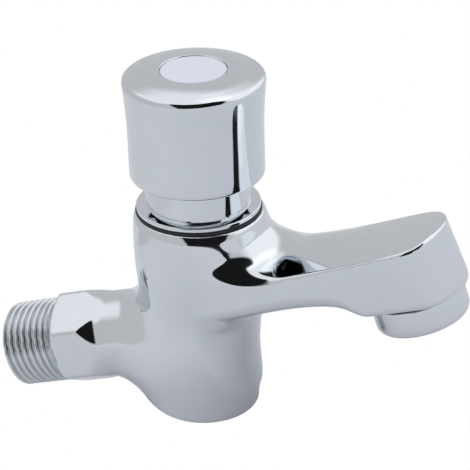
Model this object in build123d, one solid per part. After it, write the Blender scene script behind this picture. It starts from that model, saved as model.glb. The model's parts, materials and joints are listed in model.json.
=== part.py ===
from build123d import *
import math
import os

os.makedirs("parts", exist_ok=True)

# Frame, in millimetres: X runs from the wall to the mouth of the spout, Z is up in use,
# Y = 0 is the plane of symmetry and X = 0 is the face of the inlet shoulder.
lean = 16.7
reach = 37.6
head = Location((reach, 0, 0), (0, lean, 0))

# Fits, radial
fit = 0.05
seat_gap = 0.02
clear = 0.35
stroke = 7.0

# Barrel, heights along the leaning head axis
foot_low = -21.8
foot_radius = 13.15
foot_band = 1.9
foot_round = 1.8
lip_radius = 15.4
lip_high = 31.0

# Inlet: pipe thread G 1/2 drawn at its outside size, hexagon and round neck
thread_radius = 20.955 / 2
thread_length = 14.5
thread_chamfer = 0.6
hexagon_half_flat = 10.8
hexagon_corner = 12.3
hexagon_length = 7.5
neck_radius = 10.4
neck_start = 14.5
neck_fillet = 9.5

# Spout, distances from the crossing of the two axes
spout_low = 0.8
spout_reach = 69.0
spout_half_width = 12.0
front_slope = 0.10
horn_fillet = 6.0
boss_start = 49.0
side_round = 4.0
boss_round = 2.0
outlet_x = reach + 57.4

# Water ways inside the body
bonnet_bore = 13.0
bonnet_bore_low = 20.5
chamber_radius = 11.8
web_high = 8.5
web_low = 4.5
web_bore = 8.5
inlet_chamber_radius = 9.5
inlet_chamber_low = -13.0
inlet_bore = 6.2
mouth_radius = 8.0
mouth_depth = 11.2
channel_width = 13.0
channel_low = 6.6
channel_high = 12.6
nozzle_chamber_radius = 8.0
nozzle_chamber_high = 12.0
socket_radius = 9.1
socket_high = 7.0

# Bonnet with its sleeve
seal_high = 31.8
seal_radius = 15.2
flange_radius = 15.0
flange_high = 32.9
skirt_low = 21.0
skirt_inside = 11.0
ledge = 34.2
sleeve_radius = 12.6
sleeve_foot = 33.3
sleeve_inside = 9.8
sleeve_high = 54.5
sleeve_roof = sleeve_high - 2.0
bush_radius = 6.0
bush_flange = 7.5
bush_low = sleeve_roof - 1.0
bush_high = sleeve_high + 0.2

# Push cap: it stops just above the collar, and its ceiling just above the sleeve
cap_low = sleeve_foot + stroke + 0.2
cap_ceiling = sleeve_high + stroke + 0.5
cap_radius = 16.2
cap_rim_radius = 17.05
cap_rim = cap_ceiling + 2.8
cap_round = 1.8
screw_seat = cap_ceiling + 2.0
disc_seat = cap_ceiling + 4.25
cap_high = cap_ceiling + 5.6
disc_radius = 7.9
disc_thick = 1.15
screw_head = 4.0
screw_head_high = 2.2
screw_shank = 2.0
screw_low = cap_ceiling - 6.0

# Spindle with what it carries
spindle_radius = 4.0
stem_radius = 3.0
tail_radius = 2.5
spindle_shoulder = 30.0
spindle_low = -4.9
clip_thick = 0.8
clip_low = bush_low - clip_thick - 0.3
clip_radius = 5.6
clip_groove = 0.6
washer_radius = 8.0
washer_thick = 1.0
piston_low = 26.0
piston_radius = 8.4
piston_groove_low = 27.8
piston_groove_high = 29.4
piston_groove_radius = 7.2
piston_recess = 5.2
metering_radius = 1.0
metering_place = 6.0
valve_high = 1.4
valve_washer_radius = 6.4
valve_washer_thick = 1.8
carrier_thick = 1.4
carrier_rim = 1.0
nut_flats = 7.0
nut_thick = 2.5

# Cartridge
cylinder_inside = 9.0
cylinder_radius = 10.9
cylinder_floor = 18.7
divider_low = 15.5
divider_radius = 11.6
window_low = 10.5
post_inside = 8.0
post_radius = 10.0
post_width = 4.0
nose_radius = 8.3
nose_inside = 5.2
nose_low = 2.0
seat_lip = 0.5
seat_lip_radius = 6.0
head_radius = 10.8
head_high = 34.0
ring_section = 0.75

# Return spring
spring_radius = 6.5
wire_radius = 0.6
active_turns = 4.5
closed_turns = 1.0
points_per_turn = 16

# Outlet nozzle with the parts in it, heights in the upright frame
nozzle_radius = 11.4
nozzle_low = -6.3
nozzle_round = 2.5
nozzle_neck_high = 6.0
nozzle_bore = 7.8
nozzle_lip_bore = 7.0
nozzle_ledge = nozzle_low + 2.3
straightener_high = nozzle_ledge + 4.0
straightener_ring = 0.9
straightener_bar = 0.6
straightener_pitch = 2.6

# Strainer and flow limiter in the inlet mouth
limiter_thick = 2.5
limiter_hole = 1.1
strainer_flange = 1.5
strainer_radius = 6.0
strainer_wall = 0.8
strainer_low = 0.6 - thread_length
strainer_slots = 10
strainer_slot = 1.6


def turned(*points):
    """Solid turned about Z from its half section, given as (radius, height)."""
    with BuildPart() as made:
        with BuildSketch(Plane.XZ):
            with BuildLine():
                Polyline(*points, close=True)
            make_face()
        revolve(axis=Axis.Z)
    return made.part


def tube(inside, outside, low, high):
    """Ring or tube between two radii and two heights; inside 0 makes a disc."""
    return turned((inside, low), (outside, low), (outside, high), (inside, high))


def o_ring(inside, section, middle):
    """Round-section ring with its inner radius, section radius and middle height."""
    return Pos(0, 0, middle) * Torus(inside + section, section)


def along_inlet(part):
    """Turns a part drawn about Z to lie along the inlet axis, Z becoming X."""
    return Rot(0, 90, 0) * part


def largest(shape):
    """Largest solid of a shape made by a Boolean step."""
    return max(shape.solids(), key=lambda solid: solid.volume)


def long_barrel(low):
    """Upright cast barrel, slightly wider towards its lip, carried down to a low end."""
    with BuildPart() as made:
        with BuildSketch(Plane.XZ):
            with BuildLine():
                side_start = (foot_radius, foot_low + foot_band)
                middle = [(13.5, -9), (15.0, 8), (15.95, 19), (16.05, 25.5)]
                top_corner = (lip_radius, lip_high)
                Polyline([(0, low), (foot_radius, low), side_start])
                Spline([side_start, *middle, top_corner], tangents=[(0, 1), (-0.3, 1)])
                Polyline([top_corner, (0, lip_high), (0, low)])
            make_face()
        revolve(axis=Axis.Z)
    return head * (Rot(0, 0, 90) * made.part)


def stem():
    """Barrel with the round neck sweeping into its back, and its rounded foot."""
    below = foot_low - 20
    neck = along_inlet(Pos(0, 0, neck_start) * Cylinder(
        neck_radius, reach - neck_start, align=(Align.CENTER, Align.CENTER, Align.MIN)))
    joined = largest(long_barrel(below) + neck)
    junction = [edge for edge in joined.edges()
                if edge.geom_type == GeomType.BSPLINE
                and edge.bounding_box().min.X > 10
                and edge.bounding_box().max.X < reach - 1
                and abs(edge.bounding_box().min.Z) < 14
                and edge.bounding_box().max.Z < 14]
    swept = largest(fillet(junction, neck_fillet))
    plane = foot_low + foot_band
    upright = head.inverse() * largest(swept - head * tube(0, 60, below - 10, plane))
    sole = [face for face in upright.faces()
            if abs(face.center().Z - plane) < 0.02 and abs(face.normal_at().Z) > 0.99]
    foot = extrude(sole[0], amount=foot_band, dir=(0, 0, -1))
    foot = fillet(foot.edges().group_by(Axis.Z)[0], foot_round)
    return head * largest(upright + foot)


def horn():
    """Concave shoulder that spreads from the barrel's lip onto the spout's top."""
    with BuildPart() as made:
        with BuildSketch(Plane.XZ):
            with BuildLine():
                Spline([(15.2, lip_high), (16.2, 28.9), (17.2, 26.6), (18.8, 23.6),
                        (21.2, 21.0), (26, 18.0)], tangents=[(0.35, -1), (1, -0.5)])
                Polyline([(26, 18.0), (26, 16.5), (0, 16.5), (0, lip_high),
                          (15.2, lip_high)])
            make_face()
        revolve(axis=Axis.Z)
    return head * (Rot(0, 0, 180) * made.part)


def spout_section():
    """Side section of the spout, drawn wide, with a deeper boss at the outlet."""
    top = [(-2, 15.0), (30, 15.05), (50, 15.4), (73, 16.95)]
    under = [(boss_start, spout_low), (45.5, 1.8), (42, 3.2), (37, 4.4), (30, 5.0), (-2, 4.0)]
    with BuildPart() as made:
        with BuildSketch(Plane.XZ.offset(-40)):
            with BuildLine():
                Spline([(reach + x, z) for x, z in top], tangents=[(1, 0), (1, 0.12)])
                Polyline([(reach + 73, 16.95), (reach + 73, spout_low),
                          (reach + boss_start, spout_low)])
                Spline([(reach + x, z) for x, z in under],
                       tangents=[(-1, 0.22), (-1, -0.06)])
                Line((reach - 2, 4.0), (reach - 2, 15.0))
            make_face()
        extrude(amount=80)
    return made.part


def plan_outline(height):
    """Plan of the spout at one height; its blunt front leans out downwards."""
    tip = spout_reach + (16.9 - height) * front_slope
    side = [(-2, 12.9), (3, 14.1), (7, 14.85), (11, 15.15), (18, 14.7), (26, 13.5),
            (34, 12.5), (44, 12.1), (55, spout_half_width)]
    front = [(55, spout_half_width), (61.5, 11.6), (tip - 3.6, 9.8), (tip - 1.2, 5.4), (tip, 0)]
    with BuildSketch(Plane.XY.offset(height)) as made:
        with BuildLine():
            flank = Spline([(reach + x, y) for x, y in side], tangents=[(1, 0.25), (1, 0)])
            nose = Spline([(reach + x, y) for x, y in front], tangents=[(1, 0), (0, -1)])
            mirror(nose, about=Plane.XZ)
            mirror(flank, about=Plane.XZ)
            Line((reach - 2, 12.9), (reach - 2, -12.9))
        make_face()
    return made.sketch


def arm():
    """Spout with its horn, cut from the side section by the plan outline."""
    blank = largest(horn() + spout_section())
    root = [edge for edge in blank.edges()
            if edge.length > 40 and 12 < edge.center().Z < 18
            and edge.bounding_box().max.X < reach + 30
            and edge.bounding_box().size.Y > 20 and edge.center().X > reach + 18]
    blank = largest(fillet(root, horn_fillet))
    cut = largest(loft([plan_outline(-3.0), plan_outline(35.0)], ruled=True) & blank)
    sides = [edge for edge in cut.edges()
             if edge.length > 30 and abs(edge.center().Y) > 8
             and edge.bounding_box().max.Z < 8]
    softened = largest(fillet(sides, side_round))
    boss = [edge for edge in softened.edges()
            if edge.length > 40 and edge.bounding_box().max.X > reach + 60
            and edge.bounding_box().max.Z < spout_low + 0.1]
    return largest(fillet(boss, boss_round))


def hexagon():
    """Turned hexagon of the inlet, fading into the round neck."""
    with BuildPart() as made:
        with BuildSketch(Plane.XY):
            with BuildLine():
                Polyline([(0, 0), (0, 11.0), (0.9, hexagon_corner),
                          (hexagon_length, hexagon_corner)])
                Spline([(hexagon_length, hexagon_corner), (10.5, 11.3),
                        (neck_start, neck_radius)], tangents=[(1, -0.1), (1, 0)])
                Polyline([(neck_start, neck_radius), (neck_start, 0), (0, 0)])
            make_face()
        revolve(axis=Axis.X)
    with BuildPart() as flats:
        with BuildSketch(Plane.YZ):
            RegularPolygon(hexagon_half_flat, 6, major_radius=False, rotation=30)
        extrude(amount=neck_start)
    return largest(made.part & flats.part)


def water_ways():
    """Everything that is bored, cored and counterbored out of the body."""
    bores = turned((0, inlet_chamber_low), (inlet_chamber_radius, inlet_chamber_low),
                   (inlet_chamber_radius, web_low), (web_bore, web_low),
                   (web_bore, web_high), (chamber_radius, web_high),
                   (chamber_radius, bonnet_bore_low), (bonnet_bore, bonnet_bore_low),
                   (bonnet_bore, lip_high + 1), (0, lip_high + 1))
    mouth_low = -thread_length
    inlet = turned((0, mouth_low - 1), (mouth_radius, mouth_low - 1),
                   (mouth_radius, mouth_low + mouth_depth),
                   (inlet_bore, mouth_low + mouth_depth), (inlet_bore, reach), (0, reach))
    outlet = turned((0, spout_low - 1), (socket_radius, spout_low - 1),
                    (socket_radius, socket_high), (nozzle_chamber_radius, socket_high),
                    (nozzle_chamber_radius, nozzle_chamber_high), (0, nozzle_chamber_high))
    channel_length = outlet_x - reach
    channel = Pos(reach + channel_length / 2, 0, (channel_low + channel_high) / 2) * Box(
        channel_length, channel_width, channel_high - channel_low)
    channel = channel - head * tube(0, web_bore, web_low, lip_high)
    return [head * bores, along_inlet(inlet), Pos(outlet_x, 0, 0) * outlet, channel]


def tap_body():
    """Cast body: barrel, spout, neck and inlet, with its water ways."""
    thread = tube(0, thread_radius, -thread_length, 0)
    thread = chamfer(thread.edges().group_by(Axis.Z)[0], thread_chamfer)
    solid = stem() + arm() + hexagon() + along_inlet(thread)
    for cavity in water_ways():
        solid = solid - cavity
    return largest(solid)


def bonnet_sleeve():
    """Screwed bonnet: skirt, visible collar and the sleeve the cap slides over."""
    skirt = bonnet_bore - fit
    made = turned((skirt_inside, skirt_low), (skirt, skirt_low), (skirt, seal_high),
                  (flange_radius, seal_high), (flange_radius, flange_high),
                  (sleeve_radius, sleeve_foot), (sleeve_radius, sleeve_high),
                  (bush_radius + seat_gap, sleeve_high), (bush_radius + seat_gap, sleeve_roof),
                  (sleeve_inside, sleeve_roof), (sleeve_inside, ledge), (skirt_inside, ledge))
    return head * chamfer(made.edges().group_by(Axis.Z)[-1].sort_by(SortBy.RADIUS)[-1], 0.5)


def push_cap():
    """Hollow push cap with a domed top, a seat for the disc and one for the screw."""
    bore = sleeve_radius + clear
    recess = disc_radius + 2 * fit
    with BuildPart() as made:
        with BuildSketch(Plane.XZ):
            with BuildLine():
                low_corner = (cap_radius - cap_round, cap_low)
                side_start = (cap_radius, cap_low + cap_round)
                Line((bore, cap_low), low_corner)
                TangentArc([low_corner, side_start], tangent=(1, 0))
                Spline([side_start, (cap_radius, 49), (16.4, 57), (cap_rim_radius, cap_rim)],
                       tangents=[(0, 1), (0.06, 1)])
                TangentArc([(cap_rim_radius, cap_rim), (15.5, cap_rim + 1.65)],
                           tangent=(0.06, 1))
                ThreePointArc((15.5, cap_rim + 1.65), (12, cap_high - 0.5), (recess + 0.4, cap_high))
                Polyline([(recess + 0.4, cap_high), (recess, cap_high - 0.3),
                          (recess, disc_seat), (6.5, disc_seat), (6.5, screw_seat),
                          (screw_shank + fit, screw_seat), (screw_shank + fit, cap_ceiling),
                          (bore, cap_ceiling), (bore, cap_low)])
            make_face()
        revolve(axis=Axis.Z)
    return head * made.part


def index_disc():
    """Plain coloured disc let into the top of the cap."""
    disc = tube(0, disc_radius, disc_seat, disc_seat + disc_thick)
    return head * fillet(disc.edges().group_by(Axis.Z)[-1], 0.25)


def cap_screw():
    """Socket screw that holds the cap on the spindle."""
    screw = turned((0, screw_low), (screw_shank, screw_low), (screw_shank, screw_seat),
                   (screw_head, screw_seat), (screw_head, screw_seat + screw_head_high),
                   (0, screw_seat + screw_head_high))
    socket = extrude(RegularPolygon(1.5, 6, major_radius=False), 1.4)
    return head * (screw - Pos(0, 0, screw_seat + screw_head_high - 1.4) * socket)


def spindle():
    """Turned spindle from the cap's ceiling down to the valve nut."""
    groove = spindle_radius - clip_groove
    piston_clip_low = piston_low + 0.2
    made = turned((0, spindle_low), (tail_radius, spindle_low), (tail_radius, valve_high),
                  (stem_radius, valve_high), (stem_radius, piston_clip_low),
                  (stem_radius - 0.5, piston_clip_low),
                  (stem_radius - 0.5, piston_clip_low + clip_thick),
                  (stem_radius, piston_clip_low + clip_thick),
                  (stem_radius, spindle_shoulder), (spindle_radius, spindle_shoulder),
                  (spindle_radius, clip_low), (groove, clip_low),
                  (groove, clip_low + clip_thick), (spindle_radius, clip_low + clip_thick),
                  (spindle_radius, cap_ceiling), (0, cap_ceiling))
    hole = tube(0, screw_shank + seat_gap, screw_low - 0.5, cap_ceiling)
    return head * (made - hole)


def guide_bush():
    """Plastic bush that guides the spindle in the roof of the sleeve."""
    bore = spindle_radius + fit
    return head * turned((bore, bush_low), (bush_flange, bush_low), (bush_flange, sleeve_roof),
                         (bush_radius, sleeve_roof), (bush_radius, bush_high), (bore, bush_high))


def open_ring(inside, outside, low):
    """Spring clip: a flat ring with a gap at one side."""
    gap = Pos(outside, 0, low + clip_thick / 2) * Box(2 * outside, inside * 1.1, clip_thick)
    return head * (tube(inside, outside, low, low + clip_thick) - gap)


def retaining_clip():
    """Clip in the spindle's groove that carries the spring washer."""
    return open_ring(spindle_radius - clip_groove + seat_gap, clip_radius, clip_low)


def piston_clip():
    """Clip in the spindle's lower groove, under the timing piston."""
    return open_ring(stem_radius - 0.5 + seat_gap, 4.6, piston_low + 0.2)


def spring_washer():
    """Washer between the return spring and its clip."""
    return head * tube(spindle_radius + seat_gap, washer_radius, clip_low - washer_thick,
                       clip_low)


def return_spring():
    """Compression spring with closed ends that are ground flat."""
    high = clip_low - washer_thick
    start = head_high + wire_radius / 2
    rise = high - head_high - wire_radius
    closed_pitch = 2.1 * wire_radius
    active_pitch = (rise - 2 * closed_turns * closed_pitch) / active_turns
    turns = active_turns + 2 * closed_turns
    points = []
    for index in range(int(turns * points_per_turn) + 1):
        turn = index / points_per_turn
        low_turn = min(turn, closed_turns)
        top_turn = max(turn - closed_turns - active_turns, 0)
        height = start + (low_turn + top_turn) * closed_pitch
        height += (turn - low_turn - top_turn) * active_pitch
        angle = 2 * math.pi * turn
        points.append((spring_radius * math.cos(angle), spring_radius * math.sin(angle), height))
    path = Spline(points)
    wire = sweep(Plane(path @ 0, z_dir=path % 0) * Circle(wire_radius), path=path)
    return head * largest(wire & tube(0, washer_radius, head_high, high))


def cartridge_head():
    """Lid of the timing cylinder, grooved for the upper spindle seal."""
    bore = spindle_radius + 2 * fit
    middle = (lip_high + head_high) / 2
    groove = spindle_radius + fit + 2 * ring_section + seat_gap
    half = ring_section + seat_gap
    return head * turned((bore, lip_high), (head_radius, lip_high), (head_radius, head_high),
                         (bore, head_high), (bore, middle + half), (groove, middle + half),
                         (groove, middle - half), (bore, middle - half))


def upper_spindle_seal():
    """Round ring that seals the spindle in the lid."""
    return head * o_ring(spindle_radius + fit, ring_section, (lip_high + head_high) / 2)


def cartridge_housing():
    """Moulded housing: seat nose, windows, divider and timing cylinder in one piece."""
    divider_middle = (divider_low + cylinder_floor) / 2
    half = ring_section + seat_gap
    outer_groove = divider_radius + 0.15 - 2 * ring_section - seat_gap
    stem_bore = stem_radius + 2 * fit
    inner_groove = stem_radius + fit + 2 * ring_section + seat_gap
    nose_groove = web_bore - 2 * ring_section - fit
    nose_middle = (web_low + web_high) / 2
    upper = turned((stem_bore, divider_low), (divider_radius, divider_low),
                   (divider_radius, divider_middle - half), (outer_groove, divider_middle - half),
                   (outer_groove, divider_middle + half), (divider_radius, divider_middle + half),
                   (divider_radius, cylinder_floor), (cylinder_radius, cylinder_floor),
                   (cylinder_radius, lip_high), (cylinder_inside, lip_high),
                   (cylinder_inside, cylinder_floor), (stem_bore, cylinder_floor),
                   (stem_bore, divider_middle + half), (inner_groove, divider_middle + half),
                   (inner_groove, divider_middle - half), (stem_bore, divider_middle - half))
    lower = turned((nose_inside, nose_low - seat_lip), (seat_lip_radius, nose_low - seat_lip),
                   (seat_lip_radius, nose_low), (nose_radius, nose_low),
                   (nose_radius, nose_middle - half), (nose_groove, nose_middle - half),
                   (nose_groove, nose_middle + half), (nose_radius, nose_middle + half),
                   (nose_radius, web_high), (divider_radius, web_high),
                   (divider_radius, window_low), (nose_inside, window_low))
    post_middle = (post_inside + post_radius) / 2
    post = Pos(post_middle, 0, (window_low + divider_low) / 2) * Box(
        post_radius - post_inside, post_width, divider_low - window_low)
    made = upper + lower
    for index in range(4):
        made = made + Rot(0, 0, 45 + 90 * index) * post
    return head * made


def cartridge_upper_seal():
    """Round ring between the divider and the outlet chamber."""
    inside = divider_radius + 0.15 - 2 * ring_section
    return head * o_ring(inside, ring_section, (divider_low + cylinder_floor) / 2)


def cartridge_lower_seal():
    """Round ring between the seat nose and the web of the body."""
    inside = web_bore - 2 * ring_section - seat_gap
    return head * o_ring(inside, ring_section, (web_low + web_high) / 2)


def lower_spindle_seal():
    """Round ring that seals the spindle in the divider."""
    return head * o_ring(stem_radius + fit, ring_section, (divider_low + cylinder_floor) / 2)


def timing_piston():
    """Piston on the spindle, with a groove for its lip seal and a metering hole."""
    bore = stem_radius + seat_gap
    recess_high = piston_low + 0.2 + clip_thick
    made = turned((piston_recess, piston_low), (piston_radius, piston_low),
                  (piston_radius, piston_groove_low), (piston_groove_radius, piston_groove_low),
                  (piston_groove_radius, piston_groove_high),
                  (piston_radius, piston_groove_high), (piston_radius, spindle_shoulder),
                  (bore, spindle_shoulder), (bore, recess_high), (piston_recess, recess_high))
    hole = Pos(metering_place, 0, 0) * tube(0, metering_radius, piston_low, spindle_shoulder)
    return head * (made - hole)


def piston_lip_seal():
    """Lip seal of the timing piston, open towards the timing chamber."""
    inside = piston_groove_radius + seat_gap
    lip = cylinder_inside - fit
    low = piston_groove_low + seat_gap
    high = piston_groove_high - seat_gap
    return head * turned((inside, low), (inside + 0.6, low), (inside + 0.8, low + 0.8),
                         (lip - 0.35, low), (lip, low), (lip, low + 0.5),
                         (lip - 0.4, high), (inside, high))


def metering_pin():
    """Pin that leaves a fine water path through the piston and sets the closing time."""
    return head * (Pos(metering_place, 0, 0) * tube(
        0, metering_radius - seat_gap, piston_low + 0.5, spindle_shoulder + 0.6))


def valve_washer():
    """Rubber washer that closes on the seat lip."""
    return head * tube(tail_radius + seat_gap, valve_washer_radius,
                       valve_high - valve_washer_thick, valve_high)


def valve_carrier():
    """Dished plate that carries the washer."""
    low = valve_high - valve_washer_thick - carrier_thick
    floor = low + carrier_thick
    rim_inside = valve_washer_radius + seat_gap
    rim = rim_inside + 0.9
    return head * turned((tail_radius + seat_gap, low), (rim, low), (rim, floor + carrier_rim),
                         (rim_inside, floor + carrier_rim), (rim_inside, floor),
                         (tail_radius + seat_gap, floor))


def valve_nut():
    """Hexagon nut that clamps the valve on the spindle's tail."""
    high = valve_high - valve_washer_thick - carrier_thick
    blank = extrude(RegularPolygon(nut_flats / 2, 6, major_radius=False), nut_thick)
    bore = Pos(0, 0, high - nut_thick) * Cylinder(
        tail_radius + seat_gap, nut_thick, align=(Align.CENTER, Align.CENTER, Align.MIN))
    return head * (Pos(0, 0, high - nut_thick) * blank - bore)


def collar_seal():
    """Flat black ring between the body's lip and the collar."""
    return head * tube(bonnet_bore, seal_radius, lip_high, seal_high)


def outlet_nozzle():
    """Short round nozzle pushed up into the boss of the spout."""
    made = turned((nozzle_lip_bore, nozzle_low), (nozzle_radius, nozzle_low),
                  (nozzle_radius, spout_low), (socket_radius - fit, spout_low),
                  (socket_radius - fit, nozzle_neck_high), (nozzle_bore, nozzle_neck_high),
                  (nozzle_bore, nozzle_ledge), (nozzle_lip_bore, nozzle_ledge))
    low_edge = made.edges().group_by(Axis.Z)[0].sort_by(SortBy.RADIUS)[-1]
    return Pos(outlet_x, 0, 0) * fillet(low_edge, nozzle_round)


def nozzle_seal():
    """Flat ring above the nozzle's neck."""
    return Pos(outlet_x, 0, 0) * tube(nozzle_bore, socket_radius - fit, nozzle_neck_high,
                                      socket_high)


def flow_straightener():
    """Round grid that calms the water inside the nozzle."""
    outside = nozzle_bore - fit
    height = straightener_high - nozzle_ledge
    grid = tube(outside - straightener_ring, outside, nozzle_ledge, straightener_high)
    disc = tube(0, outside - straightener_ring / 2, nozzle_ledge, straightener_high)
    for index in range(-2, 3):
        bar = Pos(index * straightener_pitch, 0, nozzle_ledge + height / 2) * Box(
            straightener_bar, 2 * outside, height)
        grid = grid + (bar & disc)
        grid = grid + (Rot(0, 0, 90) * bar & disc)
    return Pos(outlet_x, 0, 0) * grid


def inlet_strainer():
    """Slotted thimble that keeps dirt out of the valve."""
    flange_high = mouth_depth - thread_length - limiter_thick
    flange_low = flange_high - strainer_flange
    inside = strainer_radius - strainer_wall
    made = turned((0, strainer_low), (strainer_radius, strainer_low),
                  (strainer_radius, flange_low), (mouth_radius - fit, flange_low),
                  (mouth_radius - fit, flange_high), (inside, flange_high),
                  (inside, strainer_low + strainer_wall), (0, strainer_low + strainer_wall))
    slot_length = flange_low - strainer_low - 2.4
    slot = Pos(strainer_radius, 0, (flange_low + strainer_low) / 2) * Box(
        4 * strainer_wall, strainer_slot, slot_length)
    for index in range(strainer_slots):
        made = made - Rot(0, 0, index * 360 / strainer_slots) * slot
    return along_inlet(made)


def flow_limiter():
    """Disc with a ring of holes that limits the flow."""
    high = mouth_depth - thread_length
    made = tube(0, mouth_radius - fit, high - limiter_thick, high)
    for index in range(6):
        hole = Pos(3.6, 0, 0) * tube(0, limiter_hole, high - limiter_thick, high)
        made = made - Rot(0, 0, 60 * index) * hole
    return along_inlet(made)


nodes = [tap_body, bonnet_sleeve, collar_seal, push_cap, index_disc, outlet_nozzle,
         cap_screw, spindle, guide_bush, retaining_clip, spring_washer, return_spring,
         cartridge_head, upper_spindle_seal, cartridge_housing, lower_spindle_seal,
         timing_piston, piston_lip_seal, metering_pin, piston_clip, cartridge_upper_seal,
         cartridge_lower_seal, valve_washer, valve_carrier, valve_nut, inlet_strainer,
         flow_limiter, nozzle_seal, flow_straightener]

for make in nodes:
    solid = largest(make())
    print(make.__name__, round(solid.volume, 1), solid.is_valid)
    export_step(solid, f"parts/{make.__name__}.step")
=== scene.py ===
# %% [markdown]
# # A wall-mounted push tap
# The tap screws into the wall with a short threaded stub. A cast body carries a flat
# spout, and a push cap slides on a turned sleeve that leans a little over the spout.
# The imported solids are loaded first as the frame. They give every size and every place,
# and what is built below is only a finer skin for the pieces that can be seen.

# %% Load the frame
import json
import math

import bpy
import numpy as np
from mathutils import Matrix, Vector


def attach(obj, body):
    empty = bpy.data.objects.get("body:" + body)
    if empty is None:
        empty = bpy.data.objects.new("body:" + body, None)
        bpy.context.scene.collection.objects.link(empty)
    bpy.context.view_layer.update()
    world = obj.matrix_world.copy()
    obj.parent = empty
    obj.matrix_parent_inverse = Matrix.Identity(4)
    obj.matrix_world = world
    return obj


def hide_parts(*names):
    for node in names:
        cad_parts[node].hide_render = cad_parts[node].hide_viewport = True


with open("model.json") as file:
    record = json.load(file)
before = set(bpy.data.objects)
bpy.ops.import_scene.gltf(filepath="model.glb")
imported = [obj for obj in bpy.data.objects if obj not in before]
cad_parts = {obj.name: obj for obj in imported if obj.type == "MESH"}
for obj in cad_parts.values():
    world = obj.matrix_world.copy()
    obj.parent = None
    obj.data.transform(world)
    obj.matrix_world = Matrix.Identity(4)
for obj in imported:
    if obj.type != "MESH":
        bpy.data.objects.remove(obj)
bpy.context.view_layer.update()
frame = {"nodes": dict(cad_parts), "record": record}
nodes = frame["nodes"]

# %% [markdown]
# ## Axes and units
# Lengths below are in millimetres, as a maker would write them, and MM turns them into
# metres at the end. X runs from the wall along the inlet, Z is up, and the head of the
# tap stands on an axis that crosses the inlet axis, REACH from the wall, and leans
# towards the spout. The nozzle hangs on an upright axis, OUTLET_REACH further out. Every
# piece from the lathe is turned about one of these two, so both are named here once.

# %% Axes and units
MM = 0.001
LEAN = math.radians(16.7)
REACH = 37.6
OUTLET_REACH = 57.4
HEAD_AXIS = Matrix.Translation((REACH, 0, 0)) @ Matrix.Rotation(LEAN, 4, "Y")
OUTLET_AXIS = Matrix.Translation((REACH + OUTLET_REACH, 0, 0))
print("head axis:", [round(c, 3) for c in HEAD_AXIS.to_3x3() @ Vector((0, 0, 1))])

# %% [markdown]
# ## Smooth lines
# The outline of a casting is given by a few measured points, and between them the metal
# runs on smoothly. A cubic spline through the points is fair in the way that a bent
# batten is, and bright plating shows any kink, so the spline is used for every outline.
# The slope can be given at either end, and otherwise the line runs out straight there.


# %% A fair line through points
def fair_line(points, low_slope=None, high_slope=None, spacing=0.05):
    """Value along a cubic spline through (place, value) points, read from a fine table."""
    place = np.array([point[0] for point in points], float)
    value = np.array([point[1] for point in points], float)
    gap = np.diff(place)
    rise = np.diff(value) / gap
    count = len(place)
    system = np.zeros((count, count))
    known = np.zeros(count)
    for i in range(1, count - 1):
        system[i, i - 1:i + 2] = gap[i - 1], 2 * (gap[i - 1] + gap[i]), gap[i]
        known[i] = 6 * (rise[i] - rise[i - 1])
    system[0, 0] = system[-1, -1] = 1
    if low_slope is not None:
        system[0, :2] = 2 * gap[0], gap[0]
        known[0] = 6 * (rise[0] - low_slope)
    if high_slope is not None:
        system[-1, -2:] = gap[-1], 2 * gap[-1]
        known[-1] = 6 * (high_slope - rise[-1])
    bend = np.linalg.solve(system, known)
    at = np.arange(place[0], place[-1] + spacing, spacing)
    span = np.clip(np.searchsorted(place, at) - 1, 0, count - 2)
    past, ahead, width = at - place[span], place[span + 1] - at, gap[span]
    table = (bend[span] * ahead ** 3 + bend[span + 1] * past ** 3) / (6 * width)
    table += (value[span] / width - bend[span] * width / 6) * ahead
    table += (value[span + 1] / width - bend[span + 1] * width / 6) * past
    return lambda query: np.interp(query, at, table)


barrel_radius = fair_line([(-60, 13.0), (-30, 13.1), (-19.9, 13.2), (-9, 13.5), (8, 15.0),
                           (19, 15.95), (24.5, 16.0), (28.7, 15.85), (30.2, 15.62),
                           (31, 15.25), (35, 13.0)])
print("barrel radius at mid height:", round(float(barrel_radius(8)), 2))

# %% [markdown]
# ## The casting as a field of distances
# The body is cast in one piece: barrel, neck, spout and the shoulder between them melt
# into each other with soft fillets. Joining meshes would leave seams there. Instead each
# form is written as a distance, negative inside the metal, and two distances are joined
# with a rounded corner. The skin is where the joined distance is zero. A fillet of any
# size then costs one number, also where it runs over the edge of the foot.


# %% Rounded joins and cuts
def join(a, b, radius):
    """Both forms together, with a hollow fillet of that radius in the corner."""
    corner = np.hypot(np.maximum(radius - a, 0), np.maximum(radius - b, 0))
    return np.maximum(radius, np.minimum(a, b)) - corner


def cut(a, b, radius):
    """What the two forms share, with the edge rounded to that radius."""
    return -join(-a, -b, radius)


def ease(value, start, end):
    """Rises softly from 0 at start to 1 at end, which may also be the lower of the two."""
    share = np.clip((value - start) / (end - start), 0, 1)
    return share * share * (3 - 2 * share)


print("corner of two walls 1 mm away, radius 4:", round(float(join(1.0, 1.0, 4.0)), 2))

# %% [markdown]
# ## Where a point lies
# Each form of the casting is easiest to write in coordinates of its own. For every point
# they are worked out once: out is the way from the crossing of the two axes towards the
# spout, along is the height on the leaning head axis, and round_head and round_inlet are
# the distances from the head axis and from the inlet axis.


# %% Coordinates of the casting
class Spot:
    """Points in millimetres, in the coordinates that the casting's forms are written in."""

    def __init__(self, p):
        self.x, self.y, self.z = p[..., 0], p[..., 1], p[..., 2]
        self.out = self.x - REACH
        across = self.out * math.cos(LEAN) - self.z * math.sin(LEAN)
        self.along = self.out * math.sin(LEAN) + self.z * math.cos(LEAN)
        self.round_head = np.hypot(across, self.y)
        self.round_inlet = np.hypot(self.y, self.z)


crossing = Spot(np.array([REACH, 0.0, 0.0]))
print("the axes cross at height", float(crossing.along), "on the head axis")

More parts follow.
